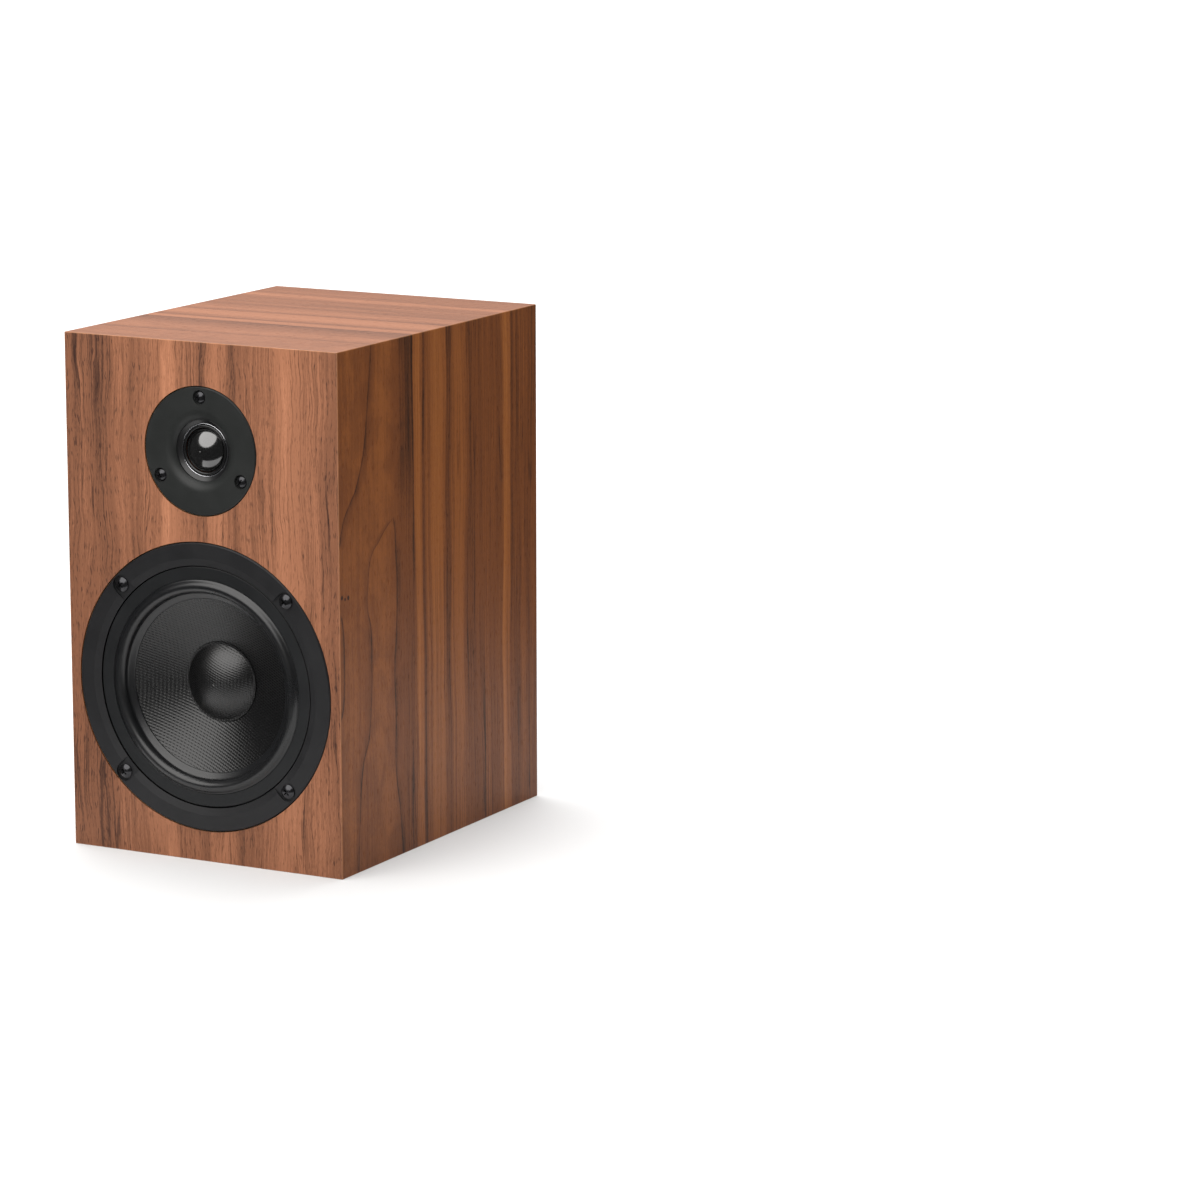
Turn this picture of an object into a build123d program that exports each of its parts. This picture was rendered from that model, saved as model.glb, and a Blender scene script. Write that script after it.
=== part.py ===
from build123d import *
import os
from math import cos, radians, sin, sqrt, tan

# Two-way bookshelf loudspeaker, in millimetres.
# +Z is up and -Y is the front. The origin is the centre of the cabinet's underside.
# Driver parts are drawn as (radius, depth), with depth counted backwards from the front face.

os.makedirs("parts", exist_ok=True)

# ---------------------------------------------------------------- driving dimensions
WIDTH, DEPTH, HEIGHT = 181.0, 229.0, 300.0
BOARD = 16.0  # veneered board thickness
ARRIS = 0.5  # rounding of the cabinet's outer edges
BACK_INSET = 1.0  # back panel sits this far inside the rear edges
BRACE_Z, BRACE_T = 187.0, 12.0
FIT = 0.05  # clearance round a part that is held
SLIP = 0.6  # gap round a driver's flange in its rebate

WOOFER_Z = 101.7
WOOFER_FLANGE_R, WOOFER_SCREW_R, SEAM_R = 83.6, 77.5, 70.3
WOOFER_PROUD, WOOFER_SEAT = 0.4, 5.0  # flange front ahead of the baffle, flange back behind it
ROLL_OUT_R, ROLL_IN_R, RUBBER_EDGE_R = 61.8, 54.4, 50.5
CONE_EDGE_R, CONE_EDGE_D, CONE_NECK_D, CONE_BOW = 54.0, 4.7, 21.4, 0.55
CONE_T = 0.5
FORMER_R = 16.1
CAP_R, CAP_D, CAP_APEX = 22.0, 18.1, 9.4

TWEETER_Z = 237.8
TWEETER_FLANGE_R, TWEETER_SCREW_R = 36.7, 30.8
TWEETER_PROUD, TWEETER_SEAT = 0.3, 3.7
HORN_R, THROAT_R, THROAT_D = 23.6, 17.7, 2.7
DOME_R, DOME_BASE, DOME_APEX = 12.6, 5.8, -0.2

PORT_Z, PORT_R, PORT_FLARE, PORT_LENGTH = 232.0, 22.5, 10.0, 110.0
CUP_Z, CUP_W, CUP_H = 60.0, 96.0, 68.0
DISH_W, DISH_H, DISH_DEPTH = 72.0, 44.0, 20.0
CUP_WALL, CUP_PLATE, CUP_GASKET = 2.5, 3.0, 0.8
CUP_SCREW_X, CUP_SCREW_Z = 42.5, 28.5
POST_X, POST_R, PLUG_R, PLUG_DEPTH = 9.5, 3.5, 2.05, 14.0

FRONT, REAR = -DEPTH / 2, DEPTH / 2
INNER_W, INNER_H = WIDTH - 2 * BOARD, HEIGHT - 2 * BOARD
BACK_FACE = REAR - BACK_INSET
BACK_INSIDE = BACK_FACE - BOARD
CEILING_Z = HEIGHT - BOARD


def turning_plane(z):
    """Half-section plane of a driver: local x is the radius and local y the depth."""
    return Plane(origin=(0, FRONT, z), x_dir=(1, 0, 0), z_dir=(0, 0, 1))


def turning_axis(z):
    """Fore-and-aft axis at that height."""
    return Axis((0, FRONT, z), (0, 1, 0))


def face_plane(depth, z, x=0.0):
    """Plane facing forwards at that depth behind the front face."""
    return Plane(origin=(x, FRONT + depth, z), x_dir=(1, 0, 0), z_dir=(0, -1, 0))


def rear_plane(y, z, x=0.0):
    """Plane facing backwards."""
    return Plane(origin=(x, y, z), x_dir=(-1, 0, 0), z_dir=(0, 1, 0))


def ring_section(inner, outer, start, end):
    """Half section of a ring between two radii and two depths."""
    with Locations(((inner + outer) / 2, (start + end) / 2)):
        Rectangle(outer - inner, end - start)


def cone_depth(radius):
    """Depth of the bass cone's front surface, which bows very slightly backwards."""
    share = (CONE_EDGE_R - radius) / (CONE_EDGE_R - FORMER_R)
    return CONE_EDGE_D + (CONE_NECK_D - CONE_EDGE_D) * share + 4 * CONE_BOW * share * (1 - share)


def sphere_drop(radius, sphere):
    """How far a sphere falls away from its apex at a radius."""
    return sphere - sqrt(sphere**2 - radius**2)


def cap_sphere(radius, height):
    """Radius of the sphere of a cap with that base radius and height."""
    return (radius**2 + height**2) / (2 * height)


def save(piece, name):
    """Labels a finished sub-part and writes its STEP file."""
    piece.part.label = name
    export_step(piece.part, f"parts/{name}.step")


# ---------------------------------------------------------------- fasteners, each seated on z = 0
def cross_screw(head_r, head_h, shank_r, length, rim_h):
    """A domed screw with a cross recess, its head along +Z."""
    with BuildPart() as screw:
        with BuildSketch(Plane.XZ):
            with BuildLine():
                Polyline((0, head_h), (0, -length), (shank_r, -length + 2 * shank_r), (shank_r, 0),
                         (head_r, 0), (head_r, rim_h))
                sphere = cap_sphere(head_r, head_h - rim_h)
                ThreePointArc((head_r, rim_h), (head_r / 2, head_h - sphere_drop(head_r / 2, sphere)),
                              (0, head_h))
            make_face()
        revolve(axis=Axis.Z)
        with BuildSketch(Plane.XY.offset(head_h)):
            Rectangle(head_r, head_r * 0.2)
            Rectangle(head_r * 0.2, head_r)
        extrude(amount=-head_h * 0.7, mode=Mode.SUBTRACT)
    return screw.part


woofer_screw = cross_screw(4.2, 2.5, 2.0, 14.5, 0.8)
tweeter_screw = cross_screw(3.6, 2.0, 1.7, 14.0, 0.3)
small_screw = cross_screw(2.9, 1.9, 1.4, 11.0, 0.4)

# ---------------------------------------------------------------- cabinet
with BuildPart() as envelope:
    Box(WIDTH, DEPTH, HEIGHT, align=(Align.CENTER, Align.CENTER, Align.MIN))
    fillet(envelope.edges(), ARRIS)

with BuildPart() as front_baffle:
    with BuildSketch(Plane(origin=(0, FRONT, HEIGHT / 2), x_dir=(-1, 0, 0), z_dir=(0, 1, 0))):
        Rectangle(WIDTH, HEIGHT)
    extrude(amount=BOARD, taper=45)
    add(envelope.part, mode=Mode.INTERSECT)
    for z, flange_r, seat, hole_r, screw_r, screws, angle, shank_r in (
        (WOOFER_Z, WOOFER_FLANGE_R, WOOFER_SEAT + 0.5, 66.0, WOOFER_SCREW_R, 4, 45, 2.0),
        (TWEETER_Z, TWEETER_FLANGE_R, TWEETER_SEAT + 0.3, 27.2, TWEETER_SCREW_R, 3, 90, 1.7),
    ):
        with BuildSketch(face_plane(0, z)):
            Circle(flange_r + SLIP)
        extrude(amount=-seat, mode=Mode.SUBTRACT)
        with BuildSketch(face_plane(0, z)):
            Circle(hole_r)
            with PolarLocations(screw_r, screws, start_angle=angle):
                Circle(shank_r + FIT)
        extrude(amount=-BOARD, mode=Mode.SUBTRACT)
save(front_baffle, "front_baffle")

# The wrap boards are drawn long, mitred all round, and squared off at the rear.
BEYOND = 3 * BOARD
run = DEPTH + BEYOND
mid_y = FRONT + run / 2
with BuildPart() as left_panel:
    with BuildSketch(Plane(origin=(-WIDTH / 2, mid_y, HEIGHT / 2), x_dir=(0, 1, 0), z_dir=(1, 0, 0))):
        Rectangle(run, HEIGHT)
    extrude(amount=BOARD, taper=45)
    add(envelope.part, mode=Mode.INTERSECT)
save(left_panel, "left_panel")

with BuildPart() as right_panel:
    mirror(left_panel.part, about=Plane.YZ)
save(right_panel, "right_panel")

BOARD_X, BOARD_Y, BOARD_MID_Y = 76.0, 108.0, 16.0  # crossover board
BOARD_SCREW_X, BOARD_SCREW_Y = 66.0, 98.0
STANDOFF_H, PCB_T = 4.0, 1.6
with BuildPart() as plain_bottom:
    with BuildSketch(Plane(origin=(0, mid_y, 0), x_dir=(0, 1, 0), z_dir=(0, 0, 1))):
        Rectangle(run, WIDTH)
    extrude(amount=BOARD, taper=45)
    add(envelope.part, mode=Mode.INTERSECT)

with BuildPart() as top_panel:
    mirror(plain_bottom.part, about=Plane.XY.offset(HEIGHT / 2))
save(top_panel, "top_panel")

with BuildPart() as bottom_panel:
    add(plain_bottom.part)
    with BuildSketch(Plane.XY.offset(BOARD)):
        with Locations((0, BOARD_MID_Y)):
            with GridLocations(BOARD_SCREW_X, BOARD_SCREW_Y, 2, 2):
                Circle(1.4 + FIT)
    extrude(amount=-8, mode=Mode.SUBTRACT)
save(bottom_panel, "bottom_panel")

COLLAR_R, PORT_FLANGE_R, PORT_FLANGE_T, PORT_REBATE = 28.5, 37.0, 2.5, 2.0
with BuildPart() as back_panel:
    with BuildSketch(rear_plane(BACK_FACE, HEIGHT / 2)):
        Rectangle(INNER_W, INNER_H)
    extrude(amount=-BOARD)
    with BuildSketch(rear_plane(BACK_FACE, PORT_Z)):
        Circle(PORT_FLANGE_R + 0.3)
    extrude(amount=-PORT_REBATE, mode=Mode.SUBTRACT)
    with BuildSketch(rear_plane(BACK_FACE, PORT_Z)):
        Circle(COLLAR_R + 0.2)
    extrude(amount=-BOARD, mode=Mode.SUBTRACT)
    with BuildSketch(rear_plane(BACK_FACE, CUP_Z)):
        RectangleRounded(DISH_W + 2 * CUP_WALL + 1, DISH_H + 2 * CUP_WALL + 1, 7)
        with GridLocations(2 * CUP_SCREW_X, 2 * CUP_SCREW_Z, 2, 2):
            Circle(1.4 + FIT)
    extrude(amount=-BOARD, mode=Mode.SUBTRACT)
save(back_panel, "back_panel")

with BuildPart() as window_brace:
    with BuildSketch(Plane((0, (FRONT + BOARD + BACK_INSIDE) / 2, BRACE_Z))):
        Rectangle(INNER_W, BACK_INSIDE - FRONT - BOARD)
        RectangleRounded(100, 136, 18, mode=Mode.SUBTRACT)
    extrude(amount=BRACE_T)
save(window_brace, "window_brace")

# ---------------------------------------------------------------- acoustic wadding
WAD_T, WAD_L = 11.0, 150.0
for name, side in (("wadding_left", -1), ("wadding_right", 1)):
    with BuildPart() as side_pad:
        with Locations((side * (INNER_W / 2 - WAD_T / 2), 15, 105)):
            Box(WAD_T, WAD_L, 150)
        fillet(side_pad.edges(), 3)
    save(side_pad, name)

with BuildPart() as wadding_top:
    with Locations((0, 5, CEILING_Z - WAD_T / 2)):
        Box(128, WAD_L, WAD_T)
    fillet(wadding_top.edges(), 3)
save(wadding_top, "wadding_top")

# ---------------------------------------------------------------- reflex port, drawn as (radius, way in)
PORT_FACE = BACK_FACE - PORT_REBATE + PORT_FLANGE_T
with BuildPart() as port_tube:
    mouth_r = PORT_R + PORT_FLARE
    with BuildSketch(Plane(origin=(0, PORT_FACE, PORT_Z), x_dir=(1, 0, 0), z_dir=(0, 0, -1))):
        with BuildLine():
            Polyline((mouth_r, 0), (PORT_FLANGE_R, 0), (PORT_FLANGE_R, PORT_FLANGE_T),
                     (COLLAR_R, PORT_FLANGE_T), (COLLAR_R, 14), (PORT_R + 2.5, 20),
                     (PORT_R + 2.5, PORT_LENGTH), (PORT_R, PORT_LENGTH), (PORT_R, PORT_FLARE))
            ThreePointArc((PORT_R, PORT_FLARE), (mouth_r - PORT_FLARE * cos(radians(45)),
                                                 PORT_FLARE - PORT_FLARE * sin(radians(45))), (mouth_r, 0))
        make_face()
    revolve(axis=Axis((0, 0, PORT_Z), (0, 1, 0)))
    fillet(port_tube.edges().filter_by(GeomType.CIRCLE).sort_by(Axis.Y)[:2], 1.0)
save(port_tube, "port_tube")

# ---------------------------------------------------------------- woofer, fixed parts
TRIM_OUT_R, TRIM_IN_R, TRIM_D, LANDING_D = SEAM_R - 0.6, 62.2, 1.2, 3.4
POCKET_D, POCKET_R = 0.9, 5.5
CUP_MID_D, CUP_REAR_D, CUP_REAR_R = 27.0, 43.0, 46.0
SHELF_D, SHELF_R = 28.5, 37.5
with BuildPart() as woofer_basket:
    with BuildSketch(turning_plane(WOOFER_Z)):
        with BuildLine():
            Polyline((SEAM_R, POCKET_D), (74.5, -WOOFER_PROUD), (WOOFER_FLANGE_R - 0.6, -WOOFER_PROUD),
                     (WOOFER_FLANGE_R, 0.2), (WOOFER_FLANGE_R, WOOFER_SEAT), (65.0, WOOFER_SEAT),
                     (65.0, 9.0), (CUP_REAR_R, CUP_MID_D), (CUP_REAR_R, CUP_REAR_D), (24.0, CUP_REAR_D),
                     (24.0, 40.5), (CUP_REAR_R - 4, 40.5), (CUP_REAR_R - 4, 34.5), (SHELF_R, 30.5),
                     (SHELF_R, SHELF_D), (CUP_REAR_R - 2.5, SHELF_D), (CUP_REAR_R - 2.5, CUP_MID_D - 1),
                     (62.3, 9.0), (62.3, LANDING_D), (SEAM_R, LANDING_D), close=True)
        make_face()
    revolve(axis=turning_axis(WOOFER_Z))
    with BuildSketch(face_plane(-WOOFER_PROUD, WOOFER_Z)):
        with PolarLocations(WOOFER_SCREW_R, 4, start_angle=45):
            Circle(POCKET_R)
        with PolarLocations((WOOFER_SCREW_R + SEAM_R - 1) / 2, 4, start_angle=45):
            Rectangle(WOOFER_SCREW_R - SEAM_R + 1, 2 * POCKET_R)
    extrude(amount=-WOOFER_PROUD - POCKET_D, mode=Mode.SUBTRACT)
    with BuildSketch(face_plane(0, WOOFER_Z)):
        with PolarLocations(WOOFER_SCREW_R, 4, start_angle=45):
            Circle(2.0 + FIT)
    extrude(amount=-WOOFER_SEAT, mode=Mode.SUBTRACT)
    with BuildSketch(face_plane(10, WOOFER_Z)):
        Circle(60.0)
        Circle(48.5, mode=Mode.SUBTRACT)
        with PolarLocations(54, 6, start_angle=30):
            Rectangle(16, 13, mode=Mode.SUBTRACT)
    extrude(amount=-20, mode=Mode.SUBTRACT)
    with Locations((0, FRONT + 35.5, WOOFER_Z + CUP_REAR_R + 0.5)):
        Box(26, 15, 3)
save(woofer_basket, "woofer_basket")

with BuildPart() as woofer_trim_ring:
    with BuildSketch(turning_plane(WOOFER_Z)):
        ring_section(TRIM_IN_R, TRIM_OUT_R, TRIM_D, LANDING_D - 0.8)
    revolve(axis=turning_axis(WOOFER_Z))
    fillet(woofer_trim_ring.edges().filter_by(GeomType.CIRCLE).sort_by(Axis.Y)[:2], 0.4)
save(woofer_trim_ring, "woofer_trim_ring")

with BuildPart() as woofer_gasket:
    with BuildSketch(face_plane(WOOFER_SEAT, WOOFER_Z)):
        Circle(WOOFER_FLANGE_R)
        Circle(66.5, mode=Mode.SUBTRACT)
        with PolarLocations(WOOFER_SCREW_R, 4, start_angle=45):
            Circle(2.0 + FIT, mode=Mode.SUBTRACT)
    extrude(amount=-0.5)
save(woofer_gasket, "woofer_gasket")

ROLL_R = (ROLL_OUT_R - ROLL_IN_R) / 2
ROLL_MID_R, ROLL_D, RUBBER_T = (ROLL_OUT_R + ROLL_IN_R) / 2, 3.0, 0.8
with BuildPart() as woofer_surround:
    with BuildSketch(turning_plane(WOOFER_Z)):
        with BuildLine():
            Line((SEAM_R - 0.7, LANDING_D - RUBBER_T), (ROLL_OUT_R, LANDING_D - RUBBER_T))
            ThreePointArc((ROLL_OUT_R, LANDING_D - RUBBER_T), (ROLL_MID_R, ROLL_D - ROLL_R),
                          (ROLL_IN_R, ROLL_D))
            Polyline((ROLL_IN_R, ROLL_D), (ROLL_IN_R - 0.2, cone_depth(ROLL_IN_R) - 0.9),
                     (RUBBER_EDGE_R, cone_depth(RUBBER_EDGE_R) - 0.7),
                     (RUBBER_EDGE_R, cone_depth(RUBBER_EDGE_R) - FIT),
                     (CONE_EDGE_R, CONE_EDGE_D - FIT), (ROLL_IN_R + RUBBER_T, CONE_EDGE_D - 0.6),
                     (ROLL_IN_R + RUBBER_T, ROLL_D))
            ThreePointArc((ROLL_IN_R + RUBBER_T, ROLL_D), (ROLL_MID_R, ROLL_D - ROLL_R + RUBBER_T),
                          (ROLL_OUT_R - RUBBER_T, LANDING_D))
            Polyline((ROLL_OUT_R - RUBBER_T, LANDING_D), (SEAM_R - 0.7, LANDING_D),
                     (SEAM_R - 0.7, LANDING_D - RUBBER_T))
        make_face()
    revolve(axis=turning_axis(WOOFER_Z))
save(woofer_surround, "woofer_surround")

SPIDER_D, SPIDER_T, SPIDER_WAVE, SPIDER_FOLDS = 28.0, 0.4, 1.2, 5
with BuildPart() as woofer_spider:
    with BuildSketch(turning_plane(WOOFER_Z)):
        with BuildLine():
            pitch = (SHELF_R - 1 - FORMER_R - 2) / SPIDER_FOLDS
            front_line = [(FORMER_R + FIT, SPIDER_D)]
            for fold in range(SPIDER_FOLDS):
                start_r = FORMER_R + 2 + fold * pitch
                front_line.append((start_r, SPIDER_D))
                front_line.append((start_r + pitch * 0.25, SPIDER_D - SPIDER_WAVE))
                front_line.append((start_r + pitch * 0.75, SPIDER_D + SPIDER_WAVE))
            front_line.append((SHELF_R - 1, SPIDER_D))
            front_line.append((CUP_REAR_R - 2.7, SPIDER_D))
            back_line = [(radius, depth + SPIDER_T + 0.1) for radius, depth in reversed(front_line)]
            Polyline(*front_line, *back_line, close=True)
        make_face()
    revolve(axis=turning_axis(WOOFER_Z))
save(woofer_spider, "woofer_spider")

TOP_PLATE_D, MAGNET_D, YOKE_D, YOKE_REAR_D = 43.0, 49.0, 64.0, 70.0
with BuildPart() as woofer_top_plate:
    with BuildSketch(turning_plane(WOOFER_Z)):
        ring_section(17.6, 38.0, TOP_PLATE_D, MAGNET_D)
    revolve(axis=turning_axis(WOOFER_Z))
save(woofer_top_plate, "woofer_top_plate")

with BuildPart() as woofer_magnet:
    with BuildSketch(turning_plane(WOOFER_Z)):
        ring_section(22.0, 42.5, MAGNET_D, YOKE_D)
    revolve(axis=turning_axis(WOOFER_Z))
    chamfer(woofer_magnet.edges().filter_by(GeomType.CIRCLE), 0.8)
save(woofer_magnet, "woofer_magnet")

with BuildPart() as woofer_yoke:
    with BuildSketch(turning_plane(WOOFER_Z)):
        with BuildLine():
            Polyline((5, 42), (15.2, 42), (15.2, YOKE_D), (38, YOKE_D), (38, YOKE_REAR_D - 1),
                     (37, YOKE_REAR_D), (8, YOKE_REAR_D), (5, 62), close=True)
        make_face()
    revolve(axis=turning_axis(WOOFER_Z))
save(woofer_yoke, "woofer_yoke")

STRIP_Z = WOOFER_Z + CUP_REAR_R + 2.0
with BuildPart() as woofer_terminal_strip:
    with Locations((0, FRONT + 36.5, STRIP_Z + 0.8)):
        Box(24, 13, 1.6)
    for side in (-1, 1):
        with Locations((side * 7, FRONT + 43, STRIP_Z + 2.0)):
            Box(4.8, 18, 0.8)
save(woofer_terminal_strip, "woofer_terminal_strip")

with BuildPart() as woofer_screws:
    with Locations(face_plane(POCKET_D, WOOFER_Z)):
        with PolarLocations(WOOFER_SCREW_R, 4, start_angle=45):
            add(woofer_screw)
save(woofer_screws, "woofer_screws")

# ---------------------------------------------------------------- woofer, moving parts
with BuildPart() as woofer_cone:
    with BuildSketch(turning_plane(WOOFER_Z)):
        with BuildLine():
            mid_r = (CONE_EDGE_R + FORMER_R) / 2
            neck_r = FORMER_R + FIT
            skin = CONE_T * 1.1
            ThreePointArc((CONE_EDGE_R, CONE_EDGE_D), (mid_r, cone_depth(mid_r)), (neck_r, CONE_NECK_D))
            Line((neck_r, CONE_NECK_D), (neck_r, CONE_NECK_D + skin))
            ThreePointArc((neck_r, CONE_NECK_D + skin), (mid_r, cone_depth(mid_r) + skin),
                          (CONE_EDGE_R, CONE_EDGE_D + skin))
            Line((CONE_EDGE_R, CONE_EDGE_D + skin), (CONE_EDGE_R, CONE_EDGE_D))
        make_face()
    revolve(axis=turning_axis(WOOFER_Z))
save(woofer_cone, "woofer_cone")

CAP_T, LIP_R = 0.5, 23.2
with BuildPart() as woofer_dust_cap:
    outer_sphere = cap_sphere(CAP_R, CAP_D - CAP_APEX)
    inner_sphere = outer_sphere - CAP_T
    mid_r, inner_r = CAP_R / 2, CAP_R - CAP_T
    with BuildSketch(turning_plane(WOOFER_Z)):
        with BuildLine():
            ThreePointArc((0, CAP_APEX), (mid_r, CAP_APEX + sphere_drop(mid_r, outer_sphere)),
                          (CAP_R, CAP_D))
            Polyline((CAP_R, CAP_D), (LIP_R, cone_depth(LIP_R) - 0.6), (LIP_R, cone_depth(LIP_R) - FIT),
                     (inner_r, cone_depth(inner_r) - FIT),
                     (inner_r, CAP_APEX + CAP_T + sphere_drop(inner_r, inner_sphere)))
            ThreePointArc((inner_r, CAP_APEX + CAP_T + sphere_drop(inner_r, inner_sphere)),
                          (mid_r, CAP_APEX + CAP_T + sphere_drop(mid_r, inner_sphere)),
                          (0, CAP_APEX + CAP_T))
            Line((0, CAP_APEX + CAP_T), (0, CAP_APEX))
        make_face()
    revolve(axis=turning_axis(WOOFER_Z))
save(woofer_dust_cap, "woofer_dust_cap")

COIL_START, COIL_END, COIL_OUT_R = 40.0, 52.0, 16.9
with BuildPart() as woofer_former:
    with BuildSketch(turning_plane(WOOFER_Z)):
        ring_section(FORMER_R - 0.3, FORMER_R, CONE_NECK_D - 0.8, COIL_END)
    revolve(axis=turning_axis(WOOFER_Z))
save(woofer_former, "woofer_former")

with BuildPart() as woofer_voice_coil:
    with BuildSketch(turning_plane(WOOFER_Z)):
        ring_section(FORMER_R, COIL_OUT_R, COIL_START, COIL_END)
    revolve(axis=turning_axis(WOOFER_Z))
save(woofer_voice_coil, "woofer_voice_coil")

# ---------------------------------------------------------------- tweeter, fixed parts
RECESS_D, RECESS_R = 1.0, 4.1
COLLAR_IN_R, COLLAR_OUT_R, COLLAR_END = 25.1, 26.6, 8.8
FOOT_D, PLATE_D, PLATE_END, TM_END, TY_END = 5.6, 5.9, 8.9, 18.9, 21.9
POLE_D = 6.6
with BuildPart() as tweeter_faceplate:
    with BuildSketch(turning_plane(TWEETER_Z)):
        with BuildLine():
            Polyline((HORN_R, -TWEETER_PROUD), (TWEETER_FLANGE_R - 0.5, -TWEETER_PROUD),
                     (TWEETER_FLANGE_R, 0.2), (TWEETER_FLANGE_R, TWEETER_SEAT),
                     (COLLAR_OUT_R, TWEETER_SEAT), (COLLAR_OUT_R, COLLAR_END), (COLLAR_IN_R, COLLAR_END),
                     (COLLAR_IN_R, TWEETER_SEAT), (THROAT_R, TWEETER_SEAT), (THROAT_R, THROAT_D))
            ThreePointArc((THROAT_R, THROAT_D), (19.8, 0.75), (HORN_R, -TWEETER_PROUD))
        make_face()
    revolve(axis=turning_axis(TWEETER_Z))
    with BuildSketch(face_plane(-TWEETER_PROUD, TWEETER_Z)):
        with PolarLocations(TWEETER_SCREW_R, 3, start_angle=90):
            Circle(RECESS_R)
    extrude(amount=-TWEETER_PROUD - RECESS_D, mode=Mode.SUBTRACT)
    with BuildSketch(face_plane(0, TWEETER_Z)):
        with PolarLocations(TWEETER_SCREW_R, 3, start_angle=90):
            Circle(1.7 + FIT)
    extrude(amount=-TWEETER_SEAT, mode=Mode.SUBTRACT)
save(tweeter_faceplate, "tweeter_faceplate")

with BuildPart() as tweeter_gasket:
    with BuildSketch(face_plane(TWEETER_SEAT, TWEETER_Z)):
        Circle(TWEETER_FLANGE_R)
        Circle(27.8, mode=Mode.SUBTRACT)
        with PolarLocations(TWEETER_SCREW_R, 3, start_angle=90):
            Circle(1.7 + FIT, mode=Mode.SUBTRACT)
    extrude(amount=-0.3)
save(tweeter_gasket, "tweeter_gasket")

with BuildPart() as tweeter_clamp_ring:
    with BuildSketch(turning_plane(TWEETER_Z)):
        Polygon((15.4, 5.0), (THROAT_R - 0.1, TWEETER_SEAT), (22.0, TWEETER_SEAT), (22.0, FOOT_D),
                (15.4, FOOT_D), align=None)
    revolve(axis=turning_axis(TWEETER_Z))
save(tweeter_clamp_ring, "tweeter_clamp_ring")

with BuildPart() as tweeter_bright_ring:
    with BuildSketch(turning_plane(TWEETER_Z)):
        ring_section(14.75, 15.35, 4.9, FOOT_D)
    revolve(axis=turning_axis(TWEETER_Z))
    fillet(tweeter_bright_ring.edges().filter_by(GeomType.CIRCLE).sort_by(Axis.Y)[:2], 0.2)
save(tweeter_bright_ring, "tweeter_bright_ring")

with BuildPart() as tweeter_surround:
    fold_r, fold_t, fold_in_r = 1.0, 0.25, DOME_R + FIT
    fold_mid_r = fold_in_r + fold_r
    with BuildSketch(turning_plane(TWEETER_Z)):
        with BuildLine():
            ThreePointArc((fold_in_r, FOOT_D), (fold_mid_r, FOOT_D - fold_r), (fold_mid_r + fold_r, FOOT_D))
            Polyline((fold_mid_r + fold_r, FOOT_D), (21.5, FOOT_D), (21.5, PLATE_D),
                     (fold_mid_r + fold_r - fold_t, PLATE_D), (fold_mid_r + fold_r - fold_t, FOOT_D))
            ThreePointArc((fold_mid_r + fold_r - fold_t, FOOT_D), (fold_mid_r, FOOT_D - fold_r + fold_t),
                          (fold_in_r + fold_t, FOOT_D))
            Line((fold_in_r + fold_t, FOOT_D), (fold_in_r, FOOT_D))
        make_face()
    revolve(axis=turning_axis(TWEETER_Z))
save(tweeter_surround, "tweeter_surround")

with BuildPart() as tweeter_top_plate:
    with BuildSketch(turning_plane(TWEETER_Z)):
        ring_section(13.5, 25.0, PLATE_D, PLATE_END)
    revolve(axis=turning_axis(TWEETER_Z))
save(tweeter_top_plate, "tweeter_top_plate")

with BuildPart() as tweeter_magnet:
    with BuildSketch(turning_plane(TWEETER_Z)):
        ring_section(15.5, 26.5, PLATE_END, TM_END)
    revolve(axis=turning_axis(TWEETER_Z))
    chamfer(tweeter_magnet.edges().filter_by(GeomType.CIRCLE), 0.5)
save(tweeter_magnet, "tweeter_magnet")

with BuildPart() as tweeter_yoke:
    with BuildSketch(turning_plane(TWEETER_Z)):
        Polygon((3, POLE_D), (12, POLE_D), (12, TM_END), (25, TM_END), (25, TY_END), (3, TY_END),
                align=None)
    revolve(axis=turning_axis(TWEETER_Z))
save(tweeter_yoke, "tweeter_yoke")

with BuildPart() as tweeter_felt:
    with BuildSketch(turning_plane(TWEETER_Z)):
        ring_section(3.0, 9.0, POLE_D - 1.5, POLE_D)
    revolve(axis=turning_axis(TWEETER_Z))
save(tweeter_felt, "tweeter_felt")

with BuildPart() as tweeter_rear_cup:
    with BuildSketch(turning_plane(TWEETER_Z)):
        Polygon((20, TY_END), (22, TY_END), (22, 36), (20, 38), (0, 38), (0, 36), (19, 36), (20, 35),
                align=None)
    revolve(axis=turning_axis(TWEETER_Z))
save(tweeter_rear_cup, "tweeter_rear_cup")

with BuildPart() as tweeter_terminals:
    with Locations((0, FRONT + 38.8, TWEETER_Z)):
        Box(24, 1.6, 9)
    for side in (-1, 1):
        with Locations((side * 7, FRONT + 43.6, TWEETER_Z)):
            Box(4.8, 8, 0.8)
save(tweeter_terminals, "tweeter_terminals")

with BuildPart() as tweeter_screws:
    with Locations(face_plane(RECESS_D, TWEETER_Z)):
        with PolarLocations(TWEETER_SCREW_R, 3, start_angle=90):
            add(tweeter_screw)
save(tweeter_screws, "tweeter_screws")

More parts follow.
